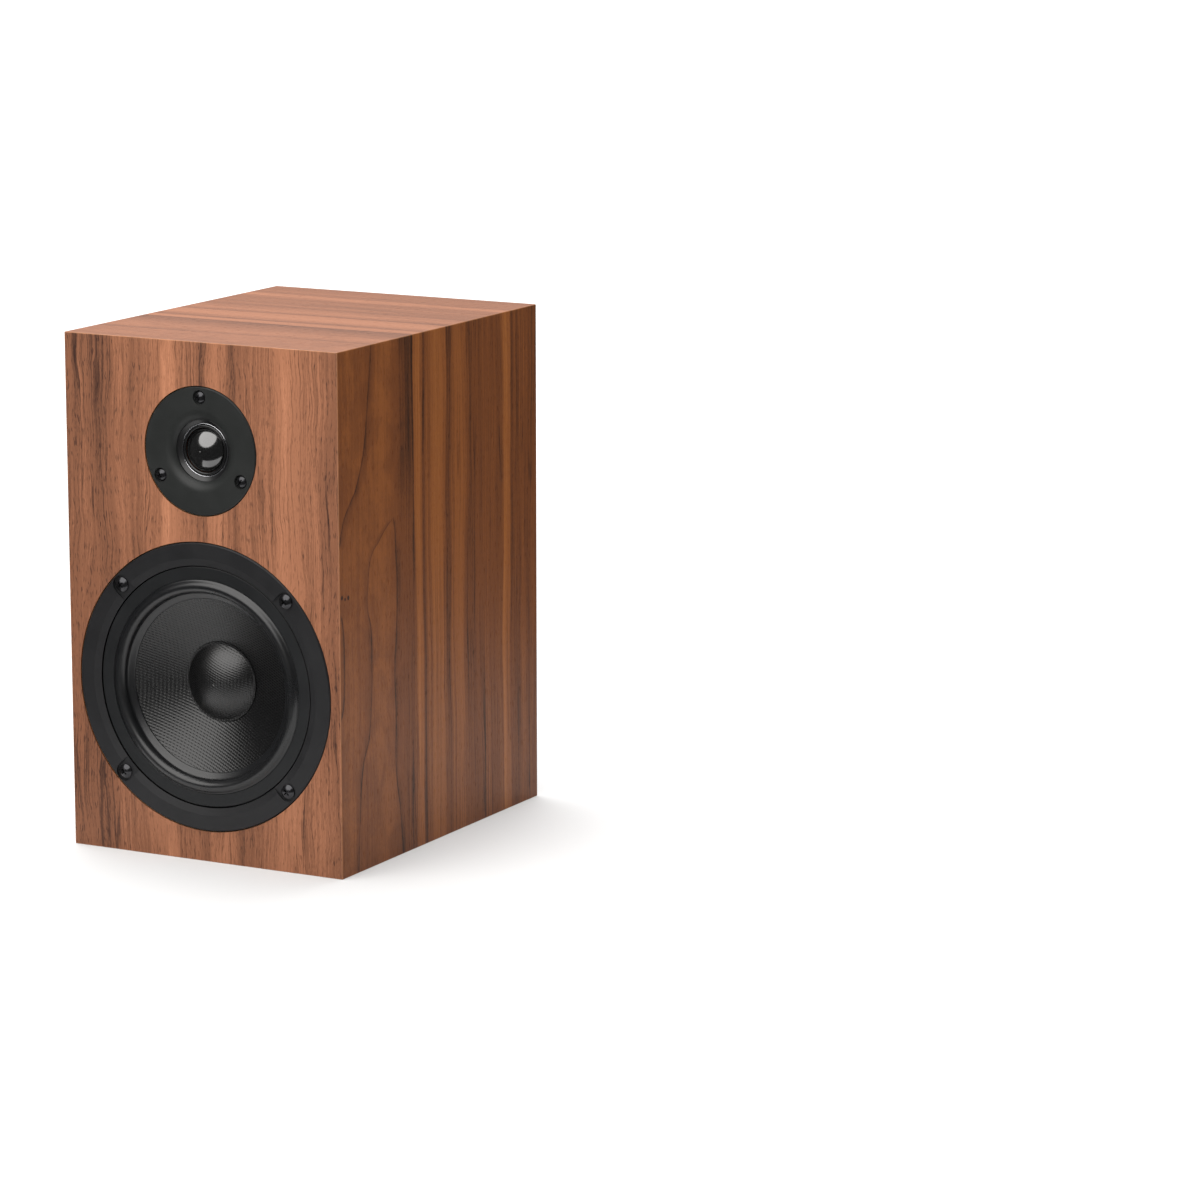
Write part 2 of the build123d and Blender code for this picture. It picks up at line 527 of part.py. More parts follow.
# ---------------------------------------------------------------- tweeter, moving parts
SILK_T = 0.3
with BuildPart() as tweeter_dome:
    outer_sphere = cap_sphere(DOME_R, DOME_BASE - DOME_APEX)
    inner_sphere = outer_sphere - SILK_T
    mid_r, rim_r = DOME_R / 2, DOME_R - 0.35
    inner_apex = DOME_APEX + SILK_T
    with BuildSketch(turning_plane(TWEETER_Z)):
        with BuildLine():
            ThreePointArc((0, DOME_APEX), (mid_r, DOME_APEX + sphere_drop(mid_r, outer_sphere)),
                          (DOME_R, DOME_BASE))
            Polyline((DOME_R, DOME_BASE), (DOME_R, DOME_BASE + 0.1), (rim_r, DOME_BASE + 0.1),
                     (rim_r, inner_apex + sphere_drop(rim_r, inner_sphere)))
            ThreePointArc((rim_r, inner_apex + sphere_drop(rim_r, inner_sphere)),
                          (mid_r, inner_apex + sphere_drop(mid_r, inner_sphere)), (0, inner_apex))
            Line((0, inner_apex), (0, DOME_APEX))
        make_face()
    revolve(axis=turning_axis(TWEETER_Z))
save(tweeter_dome, "tweeter_dome")

with BuildPart() as tweeter_voice_coil:
    with BuildSketch(turning_plane(TWEETER_Z)):
        ring_section(12.4, 12.95, DOME_BASE + 0.1, 10.4)
    revolve(axis=turning_axis(TWEETER_Z))
save(tweeter_voice_coil, "tweeter_voice_coil")

# ---------------------------------------------------------------- crossover, on the cabinet floor
PCB_Z = BOARD + STANDOFF_H
PCB_TOP = PCB_Z + PCB_T
with BuildPart() as crossover_board:
    with BuildSketch(Plane((0, BOARD_MID_Y, PCB_Z))):
        RectangleRounded(BOARD_X, BOARD_Y, 3)
        with GridLocations(BOARD_SCREW_X, BOARD_SCREW_Y, 2, 2):
            Circle(1.4 + FIT, mode=Mode.SUBTRACT)
    extrude(amount=PCB_T)
save(crossover_board, "crossover_board")

with BuildPart() as crossover_standoffs:
    with BuildSketch(Plane((0, BOARD_MID_Y, BOARD))):
        with GridLocations(BOARD_SCREW_X, BOARD_SCREW_Y, 2, 2):
            Circle(3.5)
            Circle(1.4 + FIT, mode=Mode.SUBTRACT)
    extrude(amount=STANDOFF_H)
save(crossover_standoffs, "crossover_standoffs")

with BuildPart() as crossover_screws:
    with Locations(Plane((0, BOARD_MID_Y, PCB_TOP))):
        with GridLocations(BOARD_SCREW_X, BOARD_SCREW_Y, 2, 2):
            add(small_screw)
save(crossover_screws, "crossover_screws")

for name, x, y, core_r, coil_r, coil_h in (
    ("woofer_inductor", -14.0, -12.0, 8.0, 19.0, 20.0),
    ("tweeter_inductor", 21.0, -20.0, 5.0, 11.0, 11.0),
):
    with BuildPart() as inductor:
        with BuildSketch(Plane(origin=(x, y, PCB_TOP), x_dir=(1, 0, 0), z_dir=(0, -1, 0))):
            Polygon((core_r - 1.5, 0), (coil_r + 1, 0), (coil_r + 1, 1.5), (coil_r, 1.5),
                    (coil_r, coil_h - 1.5), (coil_r + 1, coil_h - 1.5), (coil_r + 1, coil_h),
                    (core_r - 1.5, coil_h), align=None)
        revolve(axis=Axis((x, y, 0), (0, 0, 1)))
    save(inductor, name)

with BuildPart() as capacitors:
    for x, y, radius, length in ((-24, 36, 8.0, 34.0), (-5, 36, 8.0, 34.0), (21, 12, 6.5, 26.0)):
        with BuildSketch(Plane(origin=(x, y, PCB_TOP + radius), x_dir=(1, 0, 0), z_dir=(0, 1, 0))):
            Circle(radius)
        extrude(amount=length / 2, both=True)
    fillet(capacitors.edges().filter_by(GeomType.CIRCLE), 1.5)
save(capacitors, "capacitors")

with BuildPart() as resistor:
    with Locations((16, 44, PCB_TOP + 4.5)):
        Box(9, 38, 9)
    fillet(resistor.edges(), 0.8)
save(resistor, "resistor")

# ---------------------------------------------------------------- terminal cup and binding posts
PLATE_IN = BACK_FACE + CUP_GASKET
PLATE_OUT = PLATE_IN + CUP_PLATE
DISH_FLOOR = PLATE_OUT - DISH_DEPTH
with BuildPart() as terminal_cup:
    with BuildSketch(rear_plane(PLATE_IN, CUP_Z)):
        RectangleRounded(CUP_W, CUP_H, 6)
    extrude(amount=CUP_PLATE)
    chamfer(terminal_cup.faces().sort_by(Axis.Y)[-1].edges(), 0.8)
    with BuildSketch(rear_plane(DISH_FLOOR - CUP_WALL, CUP_Z)):
        RectangleRounded(DISH_W + 2 * CUP_WALL, DISH_H + 2 * CUP_WALL, 6.5)
    extrude(amount=PLATE_IN - DISH_FLOOR + CUP_WALL)
    with BuildSketch(rear_plane(DISH_FLOOR, CUP_Z)):
        RectangleRounded(DISH_W, DISH_H, 4)
    extrude(amount=DISH_DEPTH, mode=Mode.SUBTRACT)
    with BuildSketch(rear_plane(PLATE_OUT, CUP_Z)):
        with GridLocations(2 * POST_X, 1, 2, 1):
            Circle(2.5)
        with GridLocations(2 * CUP_SCREW_X, 2 * CUP_SCREW_Z, 2, 2):
            Circle(1.4 + FIT)
    extrude(amount=-DISH_DEPTH - CUP_WALL, mode=Mode.SUBTRACT)
save(terminal_cup, "terminal_cup")

with BuildPart() as terminal_cup_gasket:
    with BuildSketch(rear_plane(BACK_FACE, CUP_Z)):
        RectangleRounded(CUP_W - 2, CUP_H - 2, 5)
        RectangleRounded(DISH_W + 2 * CUP_WALL + 1, DISH_H + 2 * CUP_WALL + 1, 7, mode=Mode.SUBTRACT)
        with GridLocations(2 * CUP_SCREW_X, 2 * CUP_SCREW_Z, 2, 2):
            Circle(1.4 + FIT, mode=Mode.SUBTRACT)
    extrude(amount=CUP_GASKET)
save(terminal_cup_gasket, "terminal_cup_gasket")

with BuildPart() as terminal_cup_screws:
    with Locations(rear_plane(PLATE_OUT, CUP_Z)):
        with GridLocations(2 * CUP_SCREW_X, 2 * CUP_SCREW_Z, 2, 2):
            add(small_screw)
save(terminal_cup_screws, "terminal_cup_screws")

HEX_T, STUD_END, NUT_T = 3.0, PLATE_OUT - 1.4, 3.0
HEX_FACE = DISH_FLOOR + HEX_T
WASHER_START, WASHER_T = HEX_FACE + 0.3, 1.0
KNOB_START = WASHER_START + WASHER_T + 0.3
KNOB_END = STUD_END + 0.5
DISH_BACK = DISH_FLOOR - CUP_WALL
for colour, x in (("red", POST_X), ("black", -POST_X)):
    with BuildPart() as post_stud:
        with BuildSketch(rear_plane(DISH_FLOOR, CUP_Z, x)):
            RegularPolygon(5.5, 6)
        extrude(amount=HEX_T)
        with BuildSketch(rear_plane(HEX_FACE, CUP_Z, x)):
            Circle(POST_R)
        extrude(amount=STUD_END - HEX_FACE)
        with BuildSketch(rear_plane(DISH_FLOOR, CUP_Z, x)):
            Circle(2.45)
        extrude(amount=-CUP_WALL - 8)
        with BuildSketch(rear_plane(STUD_END, CUP_Z, x)):
            Circle(PLUG_R)
        extrude(amount=-PLUG_DEPTH, mode=Mode.SUBTRACT)
    save(post_stud, f"post_stud_{colour}")

    with BuildPart() as clamp_washer:
        with BuildSketch(rear_plane(WASHER_START, CUP_Z, x)):
            Circle(5.8)
            Circle(POST_R + 0.1, mode=Mode.SUBTRACT)
        extrude(amount=WASHER_T)
    save(clamp_washer, f"clamp_washer_{colour}")

    with BuildPart() as knob:
        with BuildSketch(rear_plane(KNOB_START, CUP_Z, x)):
            Circle(6.2)
            with PolarLocations(6.5, 12):
                Circle(0.8, mode=Mode.SUBTRACT)
            Circle(POST_R + 0.05, mode=Mode.SUBTRACT)
        extrude(amount=KNOB_END - KNOB_START)
    save(knob, f"knob_{colour}")

with BuildPart() as post_nuts:
    with BuildSketch(rear_plane(DISH_BACK - NUT_T, CUP_Z)):
        with GridLocations(2 * POST_X, 1, 2, 1):
            RegularPolygon(4.6, 6)
            Circle(2.5, mode=Mode.SUBTRACT)
    extrude(amount=NUT_T)
save(post_nuts, "post_nuts")

# ---------------------------------------------------------------- leads, drawn at +X and mirrored
WIRE_R, TINSEL_R = 1.1, 0.6
BLADE_Z, BLADE_END = STRIP_Z + 2.0, FRONT + 52
BOARD_EDGE_Y = BOARD_MID_Y - BOARD_Y / 2 + 3
STUD_TIP = DISH_BACK - 8
lead_routes = {
    "input_wires": (WIRE_R, [(POST_X, STUD_TIP - 0.1, CUP_Z), (POST_X, 75, CUP_Z - 1), (POST_X - 1, 65, 47),
                             (POST_X, 64, 34), (POST_X - 0.5, 64, PCB_TOP + 0.1)]),
    "woofer_wires": (WIRE_R, [(7, BLADE_END, BLADE_Z), (7, -48, BLADE_Z), (7.5, -36.5, 138), (7, -34, 115),
                              (8, -35.5, 90), (7, -34.5, 66), (7.5, -35.5, 43),
                              (7, BOARD_EDGE_Y, PCB_TOP + 0.1)]),
    "tweeter_wires": (WIRE_R, [(7, FRONT + 47.7, TWEETER_Z), (7.5, -54, TWEETER_Z), (9, -44.5, 226),
                               (13, -41, 203), (16, -38, 178), (18.5, -35, 152), (19, -33.5, 124),
                               (18, -35, 97), (18.5, -36, 70), (18, -35, 45),
                               (18.5, BOARD_EDGE_Y, PCB_TOP + 0.1)]),
    "woofer_tinsel_leads": (TINSEL_R, [(7, FRONT + 33.8, BLADE_Z + 0.4), (8, -88, BLADE_Z + 1.5),
                                       (9.5, -96, 150), (9.5, -98, 139), (7.5, -94.5, 128), (5, -90.4, 117.8)]),
}


def route_radii(points):
    """One bend radius for each inner point of a route, as large as its two runs allow."""
    radii = []
    for before, here, after in zip(points, points[1:], points[2:]):
        arriving = Vector(*here) - Vector(*before)
        leaving = Vector(*after) - Vector(*here)
        half_turn = radians(arriving.get_angle(leaving) / 2)
        radii.append(0.45 * min(arriving.length, leaving.length) / tan(half_turn))
    return radii


for name, (lead_r, points) in lead_routes.items():
    print(name, [round(radius, 1) for radius in route_radii(points)])
    with BuildPart() as lead:
        with BuildLine() as route:
            FilletPolyline(*points, radius=route_radii(points))
        with BuildSketch(Plane(origin=route.line @ 0, z_dir=route.line % 0)):
            Circle(lead_r)
        sweep(path=route.line)
        mirror(about=Plane.YZ)
    save(lead, name)
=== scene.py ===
import math

import bpy
from mathutils import Euler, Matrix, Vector, noise


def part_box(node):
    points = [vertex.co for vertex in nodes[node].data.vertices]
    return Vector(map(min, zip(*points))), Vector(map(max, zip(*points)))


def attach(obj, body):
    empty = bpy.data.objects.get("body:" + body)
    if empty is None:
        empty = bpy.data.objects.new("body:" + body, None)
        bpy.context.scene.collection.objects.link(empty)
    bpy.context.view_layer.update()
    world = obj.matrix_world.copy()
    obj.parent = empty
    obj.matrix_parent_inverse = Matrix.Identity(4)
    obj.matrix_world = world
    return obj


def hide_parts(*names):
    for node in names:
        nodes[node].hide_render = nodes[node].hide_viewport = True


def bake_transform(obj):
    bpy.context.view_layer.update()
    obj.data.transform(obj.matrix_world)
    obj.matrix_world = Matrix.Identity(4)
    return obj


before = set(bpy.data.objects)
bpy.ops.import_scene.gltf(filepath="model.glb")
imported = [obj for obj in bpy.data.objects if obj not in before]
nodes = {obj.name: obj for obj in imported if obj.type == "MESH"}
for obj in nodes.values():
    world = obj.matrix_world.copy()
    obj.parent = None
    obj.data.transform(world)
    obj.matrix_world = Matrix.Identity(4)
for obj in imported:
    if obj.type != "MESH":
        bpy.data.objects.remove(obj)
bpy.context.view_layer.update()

scene = bpy.context.scene

# ---------------------------------------------------------------- sizes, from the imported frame
MM = 0.001
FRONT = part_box("front_baffle")[0].y / MM
HALF_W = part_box("right_panel")[1].x / MM
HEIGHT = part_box("top_panel")[1].z / MM


def centre_z(node):
    """Height of a node's middle, in millimetres."""
    lo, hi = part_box(node)
    return (lo.z + hi.z) / 2 / MM


WOOFER_Z = centre_z("woofer_dust_cap")
TWEETER_Z = centre_z("tweeter_dome")

# ---------------------------------------------------------------- camera
camera_data = bpy.data.cameras.new("camera")
camera_data.sensor_width = 36
camera_data.lens = 140.64
camera_data.clip_end = 20
camera = bpy.data.objects.new("camera", camera_data)
camera.location = (1.41793, -2.31083, 0.66859)
camera.rotation_euler = Euler((math.radians(90 - 11.2065), 0, math.radians(27.9134)))
scene.collection.objects.link(camera)
scene.camera = camera
scene.view_settings.view_transform = "Standard"


# ---------------------------------------------------------------- node graphs written as arithmetic
class Value:
    """A number in a node tree. Arithmetic on it adds Math nodes."""

    def __init__(self, graph, socket):
        self.graph, self.socket = graph, socket

    def _op(self, kind, *others, clamp=False):
        return self.graph.math(kind, self, *others, clamp=clamp)

    def __add__(self, other):
        return self._op("ADD", other)

    __radd__ = __add__

    def __sub__(self, other):
        return self._op("SUBTRACT", other)

    def __rsub__(self, other):
        return self.graph.math("SUBTRACT", other, self)

    def __mul__(self, other):
        return self._op("MULTIPLY", other)

    __rmul__ = __mul__

    def __truediv__(self, other):
        return self._op("DIVIDE", other)

    def __gt__(self, other):
        return self._op("GREATER_THAN", other)

    def __lt__(self, other):
        return self._op("LESS_THAN", other)

    def abs(self):
        return self._op("ABSOLUTE")

    def clamp(self):
        return self._op("ADD", 0.0, clamp=True)


class Graph:
    """A material's node tree."""

    def __init__(self, name):
        self.material = bpy.data.materials.new(name)
        self.material.use_nodes = True
        self.tree = self.material.node_tree
        self.shader = self.tree.nodes["Principled BSDF"]
        self.place = self.tree.nodes.new("ShaderNodeTexCoord")

    def new(self, kind, **settings):
        node = self.tree.nodes.new(kind)
        for key, value in settings.items():
            setattr(node, key, value)
        return node

    def link(self, value, socket):
        """Puts a number, a colour or another socket's output into a socket."""
        if isinstance(value, Value):
            value = value.socket
        if isinstance(value, bpy.types.NodeSocket):
            self.tree.links.new(value, socket)
        else:
            socket.default_value = value

    def math(self, kind, *values, clamp=False):
        node = self.new("ShaderNodeMath", operation=kind, use_clamp=clamp)
        for value, socket in zip(values, node.inputs):
            self.link(value, socket)
        return Value(self, node.outputs[0])

    def split(self, socket, scale=1.0):
        node = self.new("ShaderNodeSeparateXYZ")
        self.link(socket, node.inputs[0])
        return [Value(self, out) * scale if scale != 1 else Value(self, out) for out in node.outputs]

    def millimetres(self):
        """The point's place in the object, in millimetres."""
        return self.split(self.place.outputs["Object"], 1000)

    def normal(self):
        return self.split(self.place.outputs["Normal"])

    def vector(self, x, y, z=0.0):
        node = self.new("ShaderNodeCombineXYZ")
        for value, socket in zip((x, y, z), node.inputs):
            self.link(value, socket)
        return node.outputs[0]

    def noise(self, x, y, z=0.0, detail=2.0, rough=0.5, distortion=0.0):
        """Smooth noise from 0 to 1, about 0.5 on average."""
        node = self.new("ShaderNodeTexNoise")
        node.inputs["Scale"].default_value = 1.0
        node.inputs["Detail"].default_value = detail
        node.inputs["Roughness"].default_value = rough
        node.inputs["Distortion"].default_value = distortion
        self.link(self.vector(x, y, z), node.inputs["Vector"])
        return Value(self, node.outputs[0])

    def range(self, value, start, end, low=0.0, high=1.0, kind="SMOOTHSTEP"):
        node = self.new("ShaderNodeMapRange", interpolation_type=kind)
        for item, socket in zip((value, start, end, low, high), node.inputs):
            self.link(item, socket)
        return Value(self, node.outputs[0])

    def near(self, value, centre, width):
        """1 at the centre, falling smoothly to 0 at the width."""
        return self.range((value - centre).abs(), 0.0, width, 1.0, 0.0)

    def ramp(self, value, stops, kind="EASE"):
        """A colour ramp. Stops are (position, grey) or (position, (r, g, b)) in linear colour."""
        node = self.new("ShaderNodeValToRGB")
        ramp = node.color_ramp
        ramp.interpolation = kind
        for index, (position, colour) in enumerate(stops):
            element = ramp.elements[index] if index < 2 else ramp.elements.new(position)
            element.position = position
            colour = (colour,) * 3 if isinstance(colour, (int, float)) else colour
            element.color = (*colour, 1)
        self.link(value, node.inputs[0])
        return node.outputs[0]

    def tone(self, value, stops, kind="EASE"):
        """A ramp read as a number."""
        node = self.new("ShaderNodeRGBToBW")
        self.link(self.ramp(value, stops, kind), node.inputs[0])
        return Value(self, node.outputs[0])

    def curve(self, value, start, end, low, high, points):
        """A smooth curve through points (x, y) over start..end, returning values over low..high."""
        node = self.new("ShaderNodeFloatCurve")
        line = node.mapping.curves[0]
        scaled = [((x - start) / (end - start), (y - low) / (high - low)) for x, y in points]
        for index, (x, y) in enumerate(scaled):
            if index < 2:
                line.points[index].location = (x, y)
            else:
                line.points.new(x, y)
        node.mapping.update()
        self.link(self.range(value, start, end, kind="LINEAR"), node.inputs["Value"])
        return Value(self, node.outputs[0]) * (high - low) + low

    def mix(self, factor, first, second, blend="MIX"):
        node = self.new("ShaderNodeMix", data_type="RGBA", blend_type=blend)
        self.link(factor, node.inputs["Factor"])
        for item, socket in ((first, node.inputs[6]), (second, node.inputs[7])):
            if isinstance(item, tuple):
                item = (*item[:3], 1)
            self.link(item, socket)
        return node.outputs[2]

    def bump(self, height, depth_mm, strength=1.0, normal=None):
        """A bump whose height of 1 is that many millimetres."""
        node = self.new("ShaderNodeBump")
        node.inputs["Strength"].default_value = strength
        node.inputs["Distance"].default_value = depth_mm * MM
        self.link(height, node.inputs["Height"])
        if normal is not None:
            self.link(normal, node.inputs["Normal"])
        return node.outputs[0]

    def finish(self, colour, rough, metallic=0.0, normal=None, **fixed):
        """Fills in the shader. Fixed values go straight onto its own sockets."""
        self.link((*colour, 1) if isinstance(colour, tuple) else colour, self.shader.inputs["Base Color"])
        self.link(rough, self.shader.inputs["Roughness"])
        self.shader.inputs["Metallic"].default_value = metallic
        if normal is not None:
            self.link(normal, self.shader.inputs["Normal"])
        for key, value in fixed.items():
            self.shader.inputs[key.replace("_", " ")].default_value = value
        return self.material


def srgb(red, green, blue):
    """A colour given as screen values from 0 to 255, made linear."""
    return tuple(((c / 255 + 0.055) / 1.055) ** 2.4 if c > 10 else c / 255 / 12.92 for c in (red, green, blue))


# ---------------------------------------------------------------- walnut veneer on fibreboard
def fibreboard_colour(graph, x, y, z):
    """Pressed wood fibre: pale brown with fine dark specks."""
    specks = graph.noise(x * 2.3, y * 2.3, z * 2.3, detail=4)
    cloud = graph.noise(x * 0.05, y * 0.05, z * 0.05)
    return graph.ramp(specks * 0.75 + cloud * 0.3, [(0.3, srgb(104, 76, 50)), (0.7, srgb(176, 142, 104))])


def fine_lines(graph, across, along, seed):
    """Thin growth lines that wander slowly along the grain, from 0 to 1."""
    lines = None
    for spacing, width, offset in ((0.16, 0.035, 0.0), (0.34, 0.045, 5.0)):
        level = graph.noise(across * spacing, along * 0.0035, seed + offset, detail=1)
        ridge = graph.near(level, 0.47 + offset * 0.012, width)
        shown = graph.range(graph.noise(across * 0.05, along * 0.012, seed + offset + 2), 0.40, 0.60)
        lines = ridge * shown if lines is None else lines + ridge * shown * 0.7
    return lines


def walnut():
    """Veneer on the outer faces, wrapped round the sides and top with one run of grain, and bare board inside."""
    g = Graph("walnut_veneer")
    x, y, z = g.millimetres()
    nx, ny, nz = g.normal()
    front = (ny * -1) > 0.7
    right, left = nx > 0.7, nx < -0.7
    top, bottom = nz > 0.7, nz < -0.7

    # along the wrap: u runs back from the front edge, v up the right side, over the top and down the left
    u = y - FRONT
    v = (right * z + top * (HEIGHT + HALF_W - x) + left * (2 * HALF_W + 2 * HEIGHT - z) + bottom * (x - HALF_W))
    warp = (g.noise(u * 0.02, v * 0.006, 3.1) - 0.5) * 9 + (g.noise(u * 0.09, v * 0.022, 7.7) - 0.5) * 2.6
    u_warped = u + warp
    bands = g.tone(u_warped / 229, [
        (0.00, 0.50), (0.05, 0.58), (0.14, 0.54), (0.20, 0.60), (0.27, 0.50), (0.315, 0.46), (0.345, 0.44),
        (0.356, 0.30), (0.362, 0.66), (0.385, 0.80), (0.402, 0.62), (0.412, 0.30), (0.424, 0.52), (0.446, 0.60),
        (0.462, 0.78),
        (0.505, 0.69), (0.541, 0.38), (0.552, 0.58), (0.600, 0.64), (0.632, 0.50), (0.646, 0.40),
        (0.668, 0.50), (0.700, 0.42), (0.740, 0.52), (0.790, 0.46), (0.816, 0.52), (0.828, 0.82), (0.850, 0.74),
        (0.866, 0.42), (0.920, 0.52), (0.960, 0.42), (1.000, 0.46)])
    straight = g.range(u, 60, 84)
    lines = g.noise(u_warped * 0.55, v * 0.004, 11.3, detail=3, rough=0.6)
    hairs = g.noise(u_warped * 2.1, v * 0.012, 2.4, detail=2)
    wrap = bands + (lines - 0.5) * (0.25 + straight * 0.55) + (hairs - 0.5) * (0.12 + straight * 0.26)
    wrap = wrap - g.range(lines, 0.60, 0.72) * straight * 0.14

    # the cathedral figure near the front edge of the right side
    wave = (g.noise(v * 0.045, 5.5) - 0.5) * 5
    side_v = z * right + (HEIGHT + (HALF_W - x) * 0.25) * top + 600 * left
    first = g.curve(side_v, 190, 350, 0, 50, [
        (190, 0), (204, 5), (213, 12), (222, 19.5), (246, 28.5), (276, 33), (300, 36), (350, 33)])
    inner = g.curve(side_v, 0, 200, 0, 66, [
        (0, 18), (21, 19.5), (60, 24), (78, 31.5), (96, 34), (120, 35), (138, 34), (153, 30),
        (165, 31), (178, 34), (187, 43.5), (194, 52.5), (198, 60), (200, 64)])
    outer = g.curve(side_v, 0, 200, 50, 80, [
        (0, 67.5), (21, 66), (45, 61.5), (63, 60), (84, 61), (108, 60), (132, 62), (156, 63),
        (180, 62), (198, 60), (200, 59)])
    arch = g.curve(side_v, 85, 155, -6, 6, [
        (85, -4), (93, 1.5), (106, 4.5), (132, 4.5), (143, 3.5), (150, 2), (155, -3)])
    small_wave = wave * 0.25
    figure = None
    for line, bottom_v, top_v, dark_side, reach in (
        (first, 188, 350, 1, 9.0), (inner, -2, 199, -1, 7.0), (outer, -2, 199, 1, 6.0), (arch, 90, 153, -1, 3.5),
    ):
        away = (u + small_wave - line) * dark_side
        sharp = g.range(away.abs(), 0.0, 1.1, 1.0, 0.0)
        soft = g.range(away, 0.0, reach, 1.0, 0.0) * (away > 0)
        shown = g.range(side_v, bottom_v, bottom_v + 4) * g.range(side_v, top_v - 4, top_v, 1.0, 0.0)
        strength = 0.55 + (g.noise(v * 0.03, u * 0.05, reach) - 0.5) * 0.9
        mark = (sharp * 0.42 + soft * 0.30) * shown * strength
        figure = mark if figure is None else figure + mark
    cloud = g.near(u, 74, 16) * g.range(side_v, 190, 235) * (right + top) * 0.16
    knots = None
    for knot_u, knot_v, size in ((2.6, 161.5, 1.3), (5.9, 160.2, 1.0), (9.4, 160.5, 1.4)):
        du, dv = u - knot_u, z - knot_v
        spot = g.range(g.math("SQRT", du * du + dv * dv * 0.6), size * 0.4, size, 1.0, 0.0) * right
        knots = spot if knots is None else knots + spot
    wrap = wrap - figure - cloud - knots * 0.6
    swirl = g.noise(u * 0.06, v * 0.035, 4.2, detail=3, distortion=1.2)
    wrap = wrap + (swirl - 0.5) * (1 - straight) * 0.35
    ridges = fine_lines(g, u_warped, v, 61.0)
    wrap = wrap - ridges * (0.08 + straight * 0.10)
    # painted sheen: on the top the wrap's tone is pulled 42 % of the way to an even, paler 0.56, washing out its figure
    wrap = wrap + top * (0.56 - wrap) * 0.42

    # the front's own sheet
    fu = x + HALF_W
    fwarp = (g.noise(fu * 0.03, z * 0.010, 21.0) - 0.5) * 11 + (g.noise(fu * 0.14, z * 0.04, 25.0) - 0.5) * 4.2
    fu_warped = fu + fwarp
    sheet = g.tone(fu_warped / 181, [
        (0.00, 0.46), (0.03, 0.42), (0.06, 0.48), (0.10, 0.42), (0.13, 0.40), (0.16, 0.46), (0.20, 0.56), (0.26, 0.50),
        (0.30, 0.58), (0.345, 0.62), (0.365, 0.84), (0.395, 0.76), (0.42, 0.58), (0.49, 0.56), (0.51, 0.40),
        (0.53, 0.62), (0.56, 0.76), (0.60, 0.58), (0.625, 0.36), (0.65, 0.52), (0.70, 0.58), (0.75, 0.60),
        (0.80, 0.76), (0.85, 0.70),
        (0.88, 0.56), (0.92, 0.62), (0.95, 0.54), (1.0, 0.50)])
    flines = g.noise(fu_warped * 0.42, z * 0.005, 31.0, detail=3, rough=0.6)
    fhairs = g.noise(fu_warped * 1.8, z * 0.012, 35.0, detail=2)
    broad = g.noise(fu_warped * 0.06, z * 0.008, 39.0)
    face = sheet + (flines - 0.5) * 0.5 + (fhairs - 0.5) * 0.34 + (broad - 0.5) * 0.3
    face = face - g.range(flines, 0.60, 0.70) * 0.16 - fine_lines(g, fu_warped, z, 71.0) * 0.24

    # pores: short dark dashes along the grain on every face
    along = front * z + (1 - front) * v
    across = front * fu_warped + (1 - front) * u_warped
    dashes = g.noise(across * 1.5, along * 0.15, 51.0, detail=1)
    pores = g.range(dashes, 0.58, 0.68)
    grain = g.noise(across * 2.8, along * 0.45, 57.0, detail=2)
    tone = (front * face + (1 - front) * wrap)
    tone = (tone - pores * (0.09 + front * 0.12) + (grain - 0.5) * 0.28).clamp()
    side_colour = g.ramp(tone, [
        (0.0, srgb(34, 17, 5)), (0.22, srgb(76, 40, 13)), (0.45, srgb(112, 60, 21)), (0.68, srgb(136, 77, 29)),
        (1.0, srgb(162, 98, 42))])
    front_colour_top_sheen = g.ramp(tone, [
        (0.0, srgb(48, 27, 18)), (0.22, srgb(82, 50, 34)), (0.45, srgb(120, 76, 52)), (0.68, srgb(146, 95, 67)),
        (1.0, srgb(178, 120, 88))])
    # the front takes its own ramp; the top takes it too instead of the sides' ramp, a paler, pinker painted sheen on
    # the top
    veneer = g.mix(g.math("MAXIMUM", front, top), side_colour, front_colour_top_sheen)

    # a band 0.52 mm wide along each arris is drawn a little paler
    dx, dy = HALF_W - x.abs(), y - FRONT
    dz = g.math("MINIMUM", z, HEIGHT - z)
    arris = None
    for first_d, second_d in ((dx, dy), (dx, dz), (dy, dz)):
        edge = g.math("MAXIMUM", first_d, second_d) < 0.52
        arris = edge if arris is None else g.math("MAXIMUM", arris, edge)
    veneer = g.mix(arris * 0.3, veneer, srgb(178, 128, 92))

    # veneer is 0.7 mm thick, so cut edges and the inside show the board
    depth = g.math("MINIMUM", g.math("MINIMUM", dx, dy), dz)
    skin = depth < 0.7
    colour = g.mix(skin, fibreboard_colour(g, x, y, z), veneer)
    rough = g.range(tone, 0.1, 0.9, 0.50, 0.40, "LINEAR") + pores * 0.15 + (1 - skin) * 0.35
    normal = g.bump(pores * -0.6 + grain * 0.4, 0.06, 0.4)
    return g.finish(colour, rough, normal=normal, Specular_IOR_Level=0.25)


